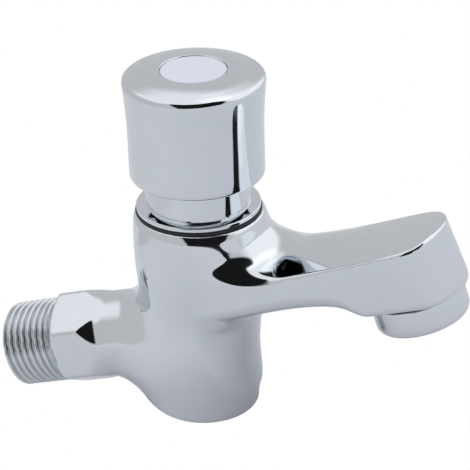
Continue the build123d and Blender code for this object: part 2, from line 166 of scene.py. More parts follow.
# %% [markdown]
# ## Barrel and neck
# The barrel stands on the head axis, and the neck lies on the inlet axis and ends inside
# it. The fillet between them is small above and grows to twice that size underneath,
# where the neck sweeps into the foot.

# %% Barrel and neck
NECK_RADIUS = 10.4
NECK_FILLET = 6.5
NECK_FILLET_HEIGHTS = 6, -13


def stem(at):
    """Barrel and neck, melted together."""
    barrel = at.round_head - barrel_radius(at.along)
    neck = np.maximum(at.round_inlet - NECK_RADIUS, at.out)
    return join(barrel, neck, NECK_FILLET + NECK_FILLET * ease(at.z, *NECK_FILLET_HEIGHTS))


print("fillet of the neck:", NECK_FILLET, "mm above and", 2 * NECK_FILLET, "mm underneath")

# %% [markdown]
# ## Outlines of the spout
# Seen from the side, the spout's top is nearly level and turns up slightly at the tip.
# Its underside is level too, then drops to the boss that holds the nozzle. Seen from
# above, the spout leaves the barrel at full width and narrows to a blunt rounded front:
# front_loss is what the front takes from the square of half the width. The shoulder
# above the root is a hollow curve turned about the head axis, flared like a horn, and
# horn_pitch is how fast its radius changes on the way up.

# %% Outlines
horn_radius = fair_line([(10, 44), (14, 34.5), (18.0, 26.0), (21.0, 21.2), (23.6, 18.8),
                         (26.6, 17.35), (28.9, 16.25), (31.0, 15.0), (34, 13.1)])
horn_pitch = fair_line([(10, -2.4), (14, -2.2), (18.0, -1.85), (21.0, -1.15), (23.6, -0.7),
                        (26.6, -0.49), (28.9, -0.54), (34, -0.62)])
spout_top = fair_line([(-20, 15.0), (-2, 15.0), (30, 15.05), (50, 15.4), (73, 16.95),
                       (80, 17.5)])
spout_under = fair_line([(-20, 3.6), (-2, 4.2), (15, 4.9), (28, 5.0), (37, 4.3), (42, 3.2),
                         (45, 1.9), (47.5, 1.0), (50, 0.8), (60, 0.8), (80, 0.8)])
spout_width = fair_line([(-20, 9.0), (-2, 12.9), (3, 14.1), (7, 14.85), (11, 15.15),
                         (18, 14.7), (26, 13.5), (34, 12.5), (44, 12.1), (55, 12.0),
                         (80, 12.0)])
front_loss = fair_line([(0, 144), (1.2, 115), (2.4, 83), (3.6, 55), (5.5, 25), (8, 7.5),
                        (11, 1.2), (14, 0), (20, 0), (30, 0), (140, 0)], -24.3, 0.0)
print("spout is", round(2 * float(spout_width(50)), 1), "mm wide before its tip")

# %% [markdown]
# ## The spout seen from above
# The front leans back a little towards its top, so its place depends on the height. At
# the root the spout is slightly wider high up, where it climbs into the shoulder. What
# is compared is the square of the way from the middle plane, which rounds the front
# without a corner, and dividing by the slope turns it into a distance again.

# %% Plan of the spout
FRONT_OUT = 68.97
FRONT_HEIGHT = 16.9
FRONT_RAKE = 0.10
ROOT_EXTRA = 0.9
ROOT_START = 3
SLOPE_STEP = 0.05
SLOPE_LEAST = 0.01


def half_width(at):
    """Half the width of the spout, with the extra at its root."""
    high_up = ease(at.z, 8, 28)
    at_root = 1 - ease(at.out, 15, 29)
    return spout_width(at.out) + ROOT_EXTRA * high_up * at_root


def spout_plan(at, half):
    """Both sides and the front of the spout."""
    past_front = FRONT_OUT + (FRONT_HEIGHT - at.z) * FRONT_RAKE - at.out
    loss_change = front_loss(past_front + SLOPE_STEP) - front_loss(past_front - SLOPE_STEP)
    loss_pitch = loss_change / (2 * SLOPE_STEP)
    room = half ** 2 - front_loss(past_front)
    plan = (at.y * at.y - room) / np.sqrt(4 * at.y * at.y + loss_pitch ** 2 + SLOPE_LEAST)
    return np.maximum(np.maximum(plan, -ROOT_START - at.out), -past_front)


print("front of the spout:", FRONT_OUT, "mm out at", FRONT_HEIGHT, "mm height")

# %% [markdown]
# ## Crown and shoulder of the spout
# The top is crowned between its edges, strongly at the root and hardly at the tip. The
# shoulder rises from it to the ring in the hollow curve of the horn. The edge between
# side and top is rounded more at the root than at the tip, and the edge underneath gets
# sharper at the boss.

# %% The spout
CROWN_AT_ROOT = 3.4
CROWN_LOST = 2.7
EDGE_DROP = 1.2
TIP_RISE = 1.1
HORN_FOOT = 14
SHOULDER_FILLET = 6.0
TIP_EDGE = 0.7
ROOT_EDGE_MORE = 3.1
HIGH_EDGE_LESS = 1.8
UNDER_EDGE = 4.2
BOSS_EDGE_LESS = 2.2


def spout_shoulder(at, half):
    """Crowned top of the spout with the hollow shoulder on it."""
    horn = (at.round_head - horn_radius(at.along)) / np.sqrt(1 + horn_pitch(at.along) ** 2)
    crown = (CROWN_AT_ROOT - CROWN_LOST * ease(at.out, 26, 56)) * (1 - (at.y / half) ** 2)
    top = spout_top(at.out) - EDGE_DROP + TIP_RISE * ease(at.out, 28, 60) + crown
    return join(np.maximum(horn, HORN_FOOT - at.along), at.z - top, SHOULDER_FILLET)


def spout(at):
    """The whole spout, with rounded edges."""
    half = half_width(at)
    root_edge = ROOT_EDGE_MORE - HIGH_EDGE_LESS * ease(at.z, 12, 29)
    top_edge = TIP_EDGE + root_edge * (1 - ease(at.out, 18, 33))
    under_edge = UNDER_EDGE - BOSS_EDGE_LESS * ease(at.out, 42, 49)
    arm = cut(spout_plan(at, half), spout_shoulder(at, half), top_edge)
    return cut(arm, spout_under(at.out) - at.z, under_edge)


above_tip = Spot(np.array([100.0, 0.0, 20.0]))
print("20 mm up, near the tip, the metal is", round(float(spout(above_tip)), 2), "mm away")

# %% [markdown]
# ## The spanner hexagon
# The tap is screwed in by a hexagon next to the wall. Six flats are three pairs of
# parallel planes. Like a nut it is also turned: a chamfer at the wall takes the corners
# off, and towards the neck the corners run out in a cone.

# %% Hexagon
HEXAGON_HALF = 10.8
HEXAGON_EDGE = 0.4
HEXAGON_END = 14.6
CORNER_RADIUS = 12.3
CONE_START = 7.5
CHAMFER_RADIUS = 11.0
CHAMFER_PITCH = 1.45
CHAMFER_SLOPE = 1.76
SINE_OF_60 = 0.8660254
hexagon_turning = fair_line([(CONE_START, CORNER_RADIUS), (10.5, 11.3), (14.5, NECK_RADIUS)],
                            -0.1, 0.0)


def hexagon(at):
    """Six flats, turned at both ends."""
    one, two = 0.5 * at.y, SINE_OF_60 * at.z
    flats = np.maximum(np.abs(one + two), np.abs(one - two))
    flats = np.maximum(np.abs(at.y), flats) - HEXAGON_HALF
    turning = np.where(at.x > CONE_START, hexagon_turning(at.x), CORNER_RADIUS)
    chamfer = (at.round_inlet - CHAMFER_RADIUS - CHAMFER_PITCH * at.x) / CHAMFER_SLOPE
    turned = np.maximum(at.round_inlet - turning, chamfer)
    return np.maximum(cut(flats, turned, HEXAGON_EDGE), at.x - HEXAGON_END)


print("hexagon:", 2 * HEXAGON_HALF, "mm across its flats")

# %% [markdown]
# ## Bores
# The barrel is bored for the parts inside, the inlet for the water and the boss for the
# nozzle. The bores are steps of plain cylinders: on the head axis each has a floor, and
# on the outlet's axis each has a ceiling. They are taken out last, so the mouths are real
# holes. The passage inside the spout can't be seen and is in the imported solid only.

# %% Bores
HEAD_BORES = (13.0, 20.5), (11.8, 8.5), (9.5, -13.0)
OUTLET_BORES = (9.1, 7.0), (8.0, 12.0)
INLET_BORE = 6.2


def bores(at):
    """All the bores together."""
    round_outlet = np.hypot(at.out - OUTLET_REACH, at.y)
    ways = [np.maximum(at.round_inlet - INLET_BORE, at.out)]
    for radius, floor in HEAD_BORES:
        ways.append(np.maximum(at.round_head - radius, floor - at.along))
    for radius, ceiling in OUTLET_BORES:
        ways.append(np.maximum(round_outlet - radius, at.z - ceiling))
    return np.minimum.reduce(ways)


print("bores:", 1 + len(HEAD_BORES) + len(OUTLET_BORES))

# %% [markdown]
# ## The whole casting
# The spout melts into the barrel with a fillet that is nearly sharp above, where the
# shoulder already does that work, and soft underneath. The foot is cut off square to the
# head axis with a rounded edge, and the top ends in a level lip under the ring. The
# melted body starts a little way from the wall, and hexagon and plain neck close it.

# %% The casting
FOOT = -21.8
FOOT_EDGE = 1.8
RING_SEAT = 31.0
LIP_EDGE = 0.35
HEAD_ZONE = 20
SEAM_LEAST = 0.3
SEAM_ABOVE = 1.2
SEAM_MORE_BELOW = 3.8
MELT_START = 10
NECK_MIDDLE = 20
NECK_HALF = 12


def casting(p):
    """Distance of points, in millimetres, from the skin of the cast body."""
    at = Spot(p)
    seam = (SEAM_ABOVE + SEAM_MORE_BELOW * ease(at.z, 8, 2)) * ease(at.out, 2, 12) + SEAM_LEAST
    body = cut(join(stem(at), spout(at), seam), FOOT - at.along, FOOT_EDGE)
    lip = np.where(at.round_head < HEAD_ZONE, at.along - RING_SEAT, -10)
    body = np.maximum(cut(body, lip, LIP_EDGE), MELT_START - at.x)
    plain_neck = np.maximum(at.round_inlet - NECK_RADIUS, np.abs(at.x - NECK_MIDDLE) - NECK_HALF)
    body = np.minimum(np.minimum(body, plain_neck), hexagon(at))
    body = np.maximum(body, -at.x)
    return np.maximum(body, -bores(at))


print("distance at the foot:", np.round(casting(np.array([[31.0, 0.0, -22.0]])), 2))

# %% [markdown]
# ## From distances to a grid
# To turn the field into a mesh it is first sampled at the corners of a grid of cubes. The
# cubes that matter are the ones that the skin passes through, with some corners in the
# metal and some outside.


# %% The field on a grid
def sampled(field, low, high, pitch):
    """Field at every corner of a grid of cubes, layer by layer."""
    count = [int(math.ceil((high[k] - low[k]) / pitch)) + 1 for k in range(3)]
    axes = [low[k] + pitch * np.arange(count[k]) for k in range(3)]
    value = np.empty(count, np.float32)
    for i in range(count[0]):
        layer = np.meshgrid(axes[0][i], axes[1], axes[2], indexing="ij")
        value[i] = field(np.stack(layer, -1))[0]
    return value


def crossed_cubes(inside):
    """Cubes with corners on both sides of the skin, and a grid of their numbers."""
    cubes = [n - 1 for n in inside.shape]
    corners = np.zeros(cubes, np.int8)
    for shift in np.ndindex(2, 2, 2):
        corners += inside[tuple(slice(s, s + c) for s, c in zip(shift, cubes))]
    live = (corners > 0) & (corners < 8)
    cells = np.argwhere(live)
    number = np.zeros(cubes, np.int64)
    number[live] = np.arange(len(cells))
    return cells, number


half_space = sampled(lambda p: p[..., 2] - 0.5, (0, 0, 0), (2, 2, 2), 1.0)
flat_cells = crossed_cubes(half_space < 0)[0]
print("cubes that a flat skin crosses:", len(flat_cells))

# %% [markdown]
# ## From the grid to points
# Each of those cubes gets one point, in the middle of the places where the skin crosses
# the cube's edges. Tried on a flat skin half way up the first cubes, the points have to
# come out at half a cube.


# %% Points of the net
def cube_points(value, cells):
    """Middle of the crossings on each cube's edges, counted in cubes."""
    total, hits = np.zeros((len(cells), 3)), np.zeros(len(cells))
    for axis in range(3):
        one, two = (axis + 1) % 3, (axis + 2) % 3
        for shift in np.ndindex(2, 2):
            start = cells.copy()
            start[:, one] += shift[0]
            start[:, two] += shift[1]
            end = start.copy()
            end[:, axis] += 1
            a, b = value[tuple(start.T)].astype(float), value[tuple(end.T)].astype(float)
            hit = (a < 0) != (b < 0)
            middle = start.astype(float)
            middle[:, axis] += a / np.where(hit, a - b, 1)
            total[hit] += middle[hit]
            hits[hit] += 1
    return total / hits[:, None]


print("heights of the flat skin's points:", cube_points(half_space, flat_cells)[:, 2])

# %% [markdown]
# ## Faces between the points
# Round each crossed edge four cubes meet, and their points make one four-sided face. Its
# corners are taken in the order that makes it look out of the metal. Points and faces
# together are tried on a small ball.


# %% Faces of the net
def net_faces(inside, number):
    """Four-sided faces that look out of the metal, one round each crossed edge."""
    faces = []
    for axis in range(3):
        one, two = (axis + 1) % 3, (axis + 2) % 3
        inner = [slice(1, c) for c in number.shape]
        inner[axis] = slice(0, number.shape[axis])
        ahead = list(inner)
        ahead[axis] = slice(1, number.shape[axis] + 1)
        crossed = inside[tuple(inner)] != inside[tuple(ahead)]
        edges = np.argwhere(crossed)
        edges[:, one] += 1
        edges[:, two] += 1
        leaves = inside[tuple(inner)][crossed]
        quad = []
        for back_one, back_two in ((1, 1), (0, 1), (0, 0), (1, 0)):
            cell = edges.copy()
            cell[:, one] -= back_one
            cell[:, two] -= back_two
            quad.append(number[tuple(cell.T)])
        quad = np.stack(quad, 1)
        quad[~leaves] = quad[~leaves][:, ::-1]
        faces.append(quad)
    return np.concatenate(faces)


def grid_net(field, low, high, pitch):
    """Points and four-sided faces round the zero of a field."""
    value = sampled(field, low, high, pitch)
    cells, number = crossed_cubes(value < 0)
    return cube_points(value, cells) * pitch + np.array(low), net_faces(value < 0, number)


def small_ball(p):
    """Distance from a ball of radius 1."""
    return np.linalg.norm(p, axis=-1) - 1


ball, ball_faces = grid_net(small_ball, (-2, -2, -2), (2, 2, 2), 0.5)
print("a small ball has", len(ball), "points and", len(ball_faces), "faces")

# %% [markdown]
# ## From a net to the skin
# The points of the net lie near the skin. They are slid along the slope of the field
# until they lie on it, and evened out between, so that the faces become alike. The same
# slope gives each point its normal, and reflections run over the fillets without facets.


# %% Settling on the skin
def slope(field, p, reach=0.01):
    """Slope of the field at each point, by small steps both ways."""
    steps = [np.eye(3)[axis] * reach for axis in range(3)]
    return np.stack([field(p + s) - field(p - s) for s in steps], -1) / (2 * reach)


def settle(field, p, rounds, flattest=0.2, longest=0.4):
    """Slides points down the slope of the field until they lie on its skin."""
    for _ in range(rounds):
        way = slope(field, p)
        move = -(field(p) / np.maximum((way * way).sum(1), flattest))[:, None] * way
        size = np.linalg.norm(move, axis=1)
        p = p + move * np.minimum(1, longest / np.maximum(size, 1e-9))[:, None]
    return p


def even_out(p, faces):
    """Moves each point half way to the middle of its neighbours."""
    total, hits = np.zeros_like(p), np.zeros(len(p))
    for side in range(4):
        a, b = faces[:, side], faces[:, (side + 1) % 4]
        np.add.at(total, a, p[b])
        np.add.at(total, b, p[a])
        np.add.at(hits, a, 1)
        np.add.at(hits, b, 1)
    return (p + total / np.maximum(hits, 1)[:, None]) / 2


ball = settle(small_ball, even_out(ball, ball_faces), 2)
print("radius of the settled ball:", round(float(np.linalg.norm(ball, axis=1).mean()), 4))

# %% [markdown]
# ## The casting's skin
# Now the casting itself goes through these steps. The largest distance that is left
# shows how well the points lie on the skin.

# %% Skin of the casting
CASTING_LOW = -0.9, -17.1, -26.5
CASTING_HIGH = 108.9, 17.1, 35.5
COARSE, FINE = 0.6, 0.42
skin, skin_faces = grid_net(casting, CASTING_LOW, CASTING_HIGH, FINE)
skin = settle(casting, skin, 3)
for _ in range(2):
    skin = settle(casting, even_out(skin, skin_faces), 2)
largest_error = float(np.abs(casting(skin)).max())
print("casting:", len(skin), "points, largest error", round(largest_error, 4))

# %% [markdown]
# ## Meshes from points
# One small helper turns points and faces into an object. It also takes normals where
# they are known exactly, which keeps polished metal free of faceted reflections.


# %% Mesh helper
def make_piece(name, points, faces, body, normals=None):
    """Object from points in millimetres, riding on one body of the frame."""
    mesh = bpy.data.meshes.new(name)
    mesh.from_pydata((np.asarray(points) * MM).tolist(), [], np.asarray(faces).tolist())
    mesh.polygons.foreach_set("use_smooth", [True] * len(mesh.polygons))
    if normals is not None:
        mesh.normals_split_custom_set_from_vertices(np.asarray(normals).tolist())
    mesh.update()
    piece = bpy.data.objects.new(name, mesh)
    bpy.context.scene.collection.objects.link(piece)
    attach(piece, body)
    return piece


skin_normals = slope(casting, skin)
skin_normals /= np.linalg.norm(skin_normals, axis=1, keepdims=True)
cast_body = make_piece("cast_body", skin, skin_faces, "tap", skin_normals)
print("cast body faces:", len(cast_body.data.polygons))

# %% [markdown]
# ## Turned pieces
# The cap, the sleeve, the nozzle, the ring and the disc come off a lathe. Each is its
# half section swept round an axis. A section is a list of corners, and a corner with a
# third number is rounded to that radius by short steps, because real edges are broken
# and catch a thin light line.


# %% Half sections
def on_arc(a, b, turn, share):
    """Arm of a circle, turned by a share of the way from arm a to arm b."""
    return (math.sin((1 - share) * turn) * a + math.sin(share * turn) * b) / math.sin(turn)


def rounded_section(corners, steps=5):
    """Closed half section: (radius, height) or (radius, height, edge rounding)."""
    section = []
    count = len(corners)
    for i, corner in enumerate(corners):
        here = np.array(corner[:2], float)
        edge = corner[2] if len(corner) > 2 else 0
        if not edge:
            section.append(here)
            continue
        before = np.array(corners[i - 1][:2], float) - here
        after = np.array(corners[(i + 1) % count][:2], float) - here
        before, after = before / np.linalg.norm(before), after / np.linalg.norm(after)
        half = math.acos(max(-1, min(1, float(before @ after)))) / 2
        both = before + after
        middle = here + both / np.linalg.norm(both) * edge / math.sin(half)
        start = here + before * edge / math.tan(half)
        end = here + after * edge / math.tan(half)
        turn = math.pi - 2 * half
        for k in range(steps + 1):
            section.append(middle + on_arc(start - middle, end - middle, turn, k / steps))
    return np.array(section)


print("rounded corner:", np.round(rounded_section([(0, 0), (4, 0, 1), (4, 4)], 2)[1], 3))

# %% [markdown]
# ## Sweeping a section
# Every point of the section makes a ring, and faces join one side to the next. The faces
# are shaded smooth, and edges sharper than CREASE stay creased, so flat faces stay flat.

# %% Lathe
CREASE = math.radians(28)


def swept_faces(sides, rings):
    """Four-sided faces between the sides of a closed section that is swept round."""
    faces = []
    for i in range(sides):
        ahead = (i + 1) % sides
        for k in range(rings):
            up = (k + 1) % rings
            faces.append((i * rings + k, ahead * rings + k, ahead * rings + up, i * rings + up))
    return faces


def turned_piece(name, corners, axis, body, sides=160):
    """Piece swept round an axis from its half section."""
    section = rounded_section(corners)
    angles = np.linspace(0, 2 * math.pi, sides, endpoint=False)
    points = np.empty((sides, len(section), 3))
    points[..., 0] = np.cos(angles)[:, None] * section[:, 0]
    points[..., 1] = np.sin(angles)[:, None] * section[:, 0]
    points[..., 2] = section[:, 1]
    points = points.reshape(-1, 3) @ np.array(axis.to_3x3()).T + np.array(axis.translation)
    piece = make_piece(name, points, swept_faces(sides, len(section)), body)
    piece.data.set_sharp_from_angle(angle=CREASE)
    return piece


print("faces of a ring with a square section:", len(swept_faces(160, 4)))

# %% [markdown]
# ## The push cap
# The cap is a hollow bell with a slightly flared side, a rounded rim and a shallow dome.
# Its underside is open and slides over the sleeve, and its top has a recess for the pale
# disc. Heights are counted up the head axis.

# %% Push cap
MANY_SIDES = 192
cap_side = fair_line([(42.3, 16.2), (49, 16.2), (57, 16.4), (64.8, 17.05)], 0.0, 0.09)
dome = fair_line([(8.2, 67.3), (12, 66.9), (15.4, 65.95)], -0.03, -0.38)
cap_section = [(12.95, 46.5), (14.9, 46.5), (14.9, 40.5, 0.3), (16.2, 40.5, 1.0)]
cap_section += [(float(cap_side(h)), h) for h in np.linspace(43.2, 63.6, 18)]
cap_section += [(17.1, 65.6, 1.4)]
cap_section += [(r, float(dome(r))) for r in np.linspace(14.6, 8.7, 10)]
cap_section += [(8.05, 67.3, 0.3), (8.05, 66.25), (6.5, 66.25), (6.5, 64.0), (2.05, 64.0),
                (2.05, 62.0), (12.95, 62.0)]
cap = turned_piece("cap_shell", cap_section, HEAD_AXIS, "push_button", MANY_SIDES)
print("corners of the cap's section:", len(cap_section))

# %% [markdown]
# ## Sleeve and ring
# The plain sleeve that the cap slides over rises from a collar, and the collar clamps a
# thin black ring on the lip of the body. Both stay still, so they ride on the tap.

# %% Sleeve and ring
sleeve = turned_piece("sleeve_and_collar", [
    (11.0, 21.0), (12.95, 21.0), (12.95, 31.8), (15.0, 31.8, 0.25), (15.0, 32.9, 0.3),
    (12.6, 33.3, 0.15), (12.6, 54.5, 0.4), (6.02, 54.5), (6.02, 52.5), (9.8, 52.5),
    (9.8, 34.2), (11.0, 34.2)], HEAD_AXIS, "tap", MANY_SIDES)
ring = turned_piece("black_ring", [(13.0, 31.0), (15.2, 31.0, 0.2), (15.2, 31.8, 0.2),
                                   (13.0, 31.8)], HEAD_AXIS, "tap")
print("still pieces on the head axis:", sleeve.name, ring.name)

# %% [markdown]
# ## Disc and nozzle
# The pale disc sits in the top of the cap, a little below the edge of its recess, and
# moves with it. The nozzle is a short hollow cup under the spout's tip, rounded below,
# with a fine seam where it meets the boss.

# %% Disc and nozzle
disc = turned_piece("top_disc", [(0.01, 66.25), (7.9, 66.25), (7.9, 67.2, 0.3),
                                 (0.01, 67.2)], HEAD_AXIS, "push_button")
nozzle = turned_piece("nozzle_shell", [
    (7.0, -6.3, 0.5), (11.4, -6.3, 2.4), (11.4, 0.8, 0.2), (9.05, 0.8), (9.05, 6.0),
    (7.8, 6.0), (7.8, -4.0), (7.0, -4.0)], OUTLET_AXIS, "tap")
print("turned pieces:", [p.name for p in (cap, sleeve, ring, disc, nozzle)])

# %% [markdown]
# ## The inlet thread
# The wall thread is a parallel pipe thread with 14 turns to the inch, so one turn moves
# 1.814 mm. On the real one the flanks stand at 55 degrees to each other and crests and
# roots are rounded, and here a softened wave stands for that form. The surface is a tube
# whose radius rises and falls with the distance along the axis less the share of a turn,
# which winds the ridges into a helix. They fade out before the hexagon.

# %% Threaded stub
THREAD_LENGTH = 14.5
THREAD_PITCH = 1.8143
CREST = 10.478
DEPTH = 1.16
THREAD_SIDES = 144
THREAD_RINGS = 164
THREAD_CREASE = math.radians(40)
INTO_SHOULDER = 0.4
FADE_PLACES = -1.6, -0.6
START_LOSS = 0.8
START_PITCH = 1.1
MOUTH_BORE = 8.0
MOUTH_FLOOR = -3.3


def thread_radius(angles, along):
    """Outside of the threaded stub, by angle and by place along the inlet axis."""
    turn = along[None, :] / THREAD_PITCH - angles[:, None] / (2 * math.pi)
    ridge = ease(0.5 + 0.5 * np.cos(2 * math.pi * turn), 0.08, 0.92)
    fade = ease(along, *FADE_PLACES)[None, :]
    radius = CREST - DEPTH * (1 - ridge) * (1 - fade) - DEPTH * 0.9 * fade
    chamfer = CREST - START_LOSS + (along + THREAD_LENGTH)[None, :] * START_PITCH
    return np.minimum(radius, chamfer)


def threaded_stub():
    """Threaded tube with a chamfered start and a stepped bore."""
    angles = np.linspace(0, 2 * math.pi, THREAD_SIDES, endpoint=False)
    along = np.linspace(-THREAD_LENGTH, INTO_SHOULDER, THREAD_RINGS)
    bore = [(INTO_SHOULDER, INLET_BORE), (MOUTH_FLOOR, INLET_BORE), (MOUTH_FLOOR, MOUTH_BORE),
            (-THREAD_LENGTH + 0.01, MOUTH_BORE)]
    rings = THREAD_RINGS + len(bore)
    place, radius = np.empty(rings), np.empty((THREAD_SIDES, rings))
    place[:THREAD_RINGS] = along
    radius[:, :THREAD_RINGS] = thread_radius(angles, along)
    place[THREAD_RINGS:] = [step[0] for step in bore]
    radius[:, THREAD_RINGS:] = [step[1] for step in bore]
    points = np.empty((THREAD_SIDES, rings, 3))
    points[..., 0] = place
    points[..., 1] = radius * np.cos(angles)[:, None]
    points[..., 2] = radius * np.sin(angles)[:, None]
    faces = [(a, d, c, b) for a, b, c, d in swept_faces(THREAD_SIDES, rings)]
    piece = make_piece("wall_thread", points.reshape(-1, 3), faces, "tap")
    piece.data.set_sharp_from_angle(angle=THREAD_CREASE)
    return piece


thread = threaded_stub()
print("thread turns:", round(THREAD_LENGTH / THREAD_PITCH, 1))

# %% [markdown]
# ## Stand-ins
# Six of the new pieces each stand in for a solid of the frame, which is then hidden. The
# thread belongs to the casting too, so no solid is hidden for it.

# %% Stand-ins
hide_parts("tap_body")
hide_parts("push_cap")
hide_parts("bonnet_sleeve")
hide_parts("collar_seal")
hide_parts("index_disc")
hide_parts("outlet_nozzle")
print("shown CAD nodes:", sum(not n.hide_render for n in nodes.values()))

# %% [markdown]
# ## Writing shaders as sums
# Blender's materials are graphs of nodes. Wiring every node by hand hides the idea, so a
# small class wraps one socket and lets ordinary signs add the Math nodes. Any other kind
# of node comes from one method that takes its settings first and its sockets after.


# %% Sockets that can be added up
class Socket:
    """One output of a shader node, with the signs of ordinary sums."""

    def __init__(self, sheet, socket):
        self.sheet, self.socket = sheet, socket

    def __add__(self, other):
        return self.sheet.maths("ADD", self, other)

    def __radd__(self, other):
        return self.sheet.maths("ADD", other, self)

    def __sub__(self, other):
        return self.sheet.maths("SUBTRACT", self, other)

    def __rsub__(self, other):
        return self.sheet.maths("SUBTRACT", other, self)

    def __mul__(self, other):
        return self.sheet.maths("MULTIPLY", self, other)

    def __rmul__(self, other):
        return self.sheet.maths("MULTIPLY", other, self)

    def clamped(self):
        """The value kept between 0 and 1."""
        return self.sheet.maths("MINIMUM", self.sheet.maths("MAXIMUM", self, 0.0), 1.0)


class Sheet:
    """The node tree of one material or of the world."""

    def __init__(self, tree):
        self.tree = tree

    def node(self, kind, settings=None, sockets=None, output=0):
        """Adds one node: settings first, then the values or links of its sockets."""
        made = self.tree.nodes.new(kind)
        for key, value in (settings or {}).items():
            setattr(made, key, value)
        for key, value in (sockets or {}).items():
            if isinstance(value, Socket):
                self.tree.links.new(value.socket, made.inputs[key])
            else:
                made.inputs[key].default_value = value
        return None if output is None else Socket(self, made.outputs[output])

    def maths(self, operation, *values):
        """Adds one Math node."""
        return self.node("ShaderNodeMath", {"operation": operation}, dict(enumerate(values)))


print("shader helpers:", Socket.__name__, Sheet.__name__)

# %% [markdown]
# ## Nodes that every finish needs
# All finishes are made of the same few nodes: clouds of noise in the object's own
# coordinates, a mix of two colours, bumps, and the Principled shader. Each gets a short
# name here. A Mix node keeps its colour sockets behind those for numbers and vectors, so
# they are picked by number.

# %% Finish helpers
FIRST_COLOUR, SECOND_COLOUR, MIXED_COLOUR = 6, 7, 2


def new_finish(name):
    """Empty material and its sheet."""
    material = bpy.data.materials.new(name)
    material.use_nodes = True
    material.node_tree.nodes.clear()
    return material, Sheet(material.node_tree)


def clouds(sheet, place, scale, detail):
    """Noise between 0 and 1."""
    return sheet.node("ShaderNodeTexNoise", None,
                      {"Vector": place, "Scale": scale, "Detail": detail})


def mixed(sheet, factor, first, second):
    """Colour between two others."""
    return sheet.node("ShaderNodeMix", {"data_type": "RGBA"},
                      {"Factor": factor, FIRST_COLOUR: first, SECOND_COLOUR: second}, MIXED_COLOUR)


def bumps(sheet, height):
    """Normal for a height in millimetres."""
    return sheet.node("ShaderNodeBump", None, {"Height": height, "Strength": 1.0, "Distance": MM})


def close_finish(sheet, sockets):
    """Principled shader with those sockets, wired to the material's output."""
    shader = sheet.node("ShaderNodeBsdfPrincipled", None, sockets)
    sheet.node("ShaderNodeOutputMaterial", None, {"Surface": shader}, None)


def colour(level, tint):
    """Tint at a brightness, with full opacity."""
    return tuple(level * t for t in tint) + (1.0,)


print("half bright white:", colour(0.5, (1, 1, 1)))

# %% [markdown]
# ## Bright chrome
# Chrome is a mirror with a cool cast. What makes it look real is small: the casting is
# polished by hand and its reflections waver, the turned pieces keep the faintest rings
# round the head axis, and a thin film of handling and some dust make the roughness vary.
# Both kinds share one recipe.

# %% Chrome finishes
CHROME_TINT = 0.94, 0.975, 1.02
CHROME_LEVEL = 0.80
CHROME_ROUGH = 0.025
FILM_ROUGH = 0.05
DUST_ROUGH = 0.12
DUST_SHARE = 0.70
RINGS_PER_METRE = 9000.0


def chrome(name, waver, rings):
    """Mirror finish, with heights of its waves and rings in millimetres."""
    material, sheet = new_finish(name)
    place = sheet.node("ShaderNodeTexCoord", output="Object")
    slow = clouds(sheet, place, 70.0, 2.0)
    film = clouds(sheet, place, 240.0, 5.0)
    specks = clouds(sheet, place, 2600.0, 1.0)
    dust = ((specks - DUST_SHARE) * 9.0).clamped()
    height = slow * waver
    if rings:
        lean = sheet.node("ShaderNodeVectorMath", {"operation": "DOT_PRODUCT"},
                          {0: place, 1: (math.sin(LEAN), 0.0, math.cos(LEAN))}, "Value")
        groove = sheet.node("ShaderNodeTexNoise", {"noise_dimensions": "1D"},
                            {"W": lean * RINGS_PER_METRE, "Scale": 1.0, "Detail": 2.0})
        height = height + groove * rings
    shade = mixed(sheet, film, colour(CHROME_LEVEL * 0.97, CHROME_TINT),
                  colour(CHROME_LEVEL * 1.03, CHROME_TINT))
    roughness = film * FILM_ROUGH + dust * DUST_ROUGH + CHROME_ROUGH
    close_finish(sheet, {"Base Color": shade, "Metallic": 1.0, "Roughness": roughness,
                         "Normal": bumps(sheet, height)})
    return material


cast_chrome = chrome("cast_chrome", waver=0.02, rings=0)
turned_chrome = chrome("turned_chrome", waver=0.004, rings=0.0006)
print("chrome:", cast_chrome.name, turned_chrome.name)

# %% [markdown]
# ## Plain finishes
# The thread is plated but cut rough, so it is satin. Rubber, plastic, brass and steel
# each get their own grain and small differences in colour and gloss. One recipe makes
# them all, from a line of numbers for each.


# %% Other finishes
def plain_finish(name, base, rough, metallic=0.0, grain=900.0, height=0.02, change=0.08):
    """Finish with a fine and a broad grain: grain counts per metre, height in millimetres."""
    material, sheet = new_finish(name)
    place = sheet.node("ShaderNodeTexCoord", output="Object")
    fine = clouds(sheet, place, grain, 4.0)
    broad = clouds(sheet, place, grain / 12, 2.0)
    blend = (broad * 0.7 + fine * 0.3).clamped()
    dark = tuple(c * (1 - change) for c in base) + (1.0,)
    light = tuple(min(1.0, c * (1 + change)) for c in base) + (1.0,)
    roughness = (fine * 0.2 + (rough - 0.1)).clamped()
    close_finish(sheet, {"Base Color": mixed(sheet, blend, dark, light), "Metallic": metallic,
                         "Roughness": roughness, "Normal": bumps(sheet, fine * height)})
    return material


recipes = {
    "thread_chrome": {"base": (0.74, 0.76, 0.79), "rough": 0.22, "metallic": 1.0,
                      "grain": 1500.0, "height": 0.01},
    "black_rubber": {"base": (0.012, 0.012, 0.013), "rough": 0.55},
    "pale_disc": {"base": (0.68, 0.705, 0.795), "rough": 0.28, "grain": 500.0,
                  "height": 0.0005, "change": 0.02},
    "white_plastic": {"base": (0.80, 0.80, 0.77), "rough": 0.45},
    "grey_plastic": {"base": (0.45, 0.47, 0.48), "rough": 0.45},
    "raw_brass": {"base": (0.78, 0.60, 0.30), "rough": 0.25, "metallic": 1.0},
    "stainless_steel": {"base": (0.62, 0.61, 0.59), "rough": 0.28, "metallic": 1.0},
}
finishes = {name: plain_finish(name, **recipe) for name, recipe in recipes.items()}
print("finishes:", sorted(finishes))

# %% [markdown]
# ## Dressing the pieces
# The new pieces are dressed one by one. The solids that are shown as they are get the
# finish that the record names for them, and every chrome but the casting's is turned.


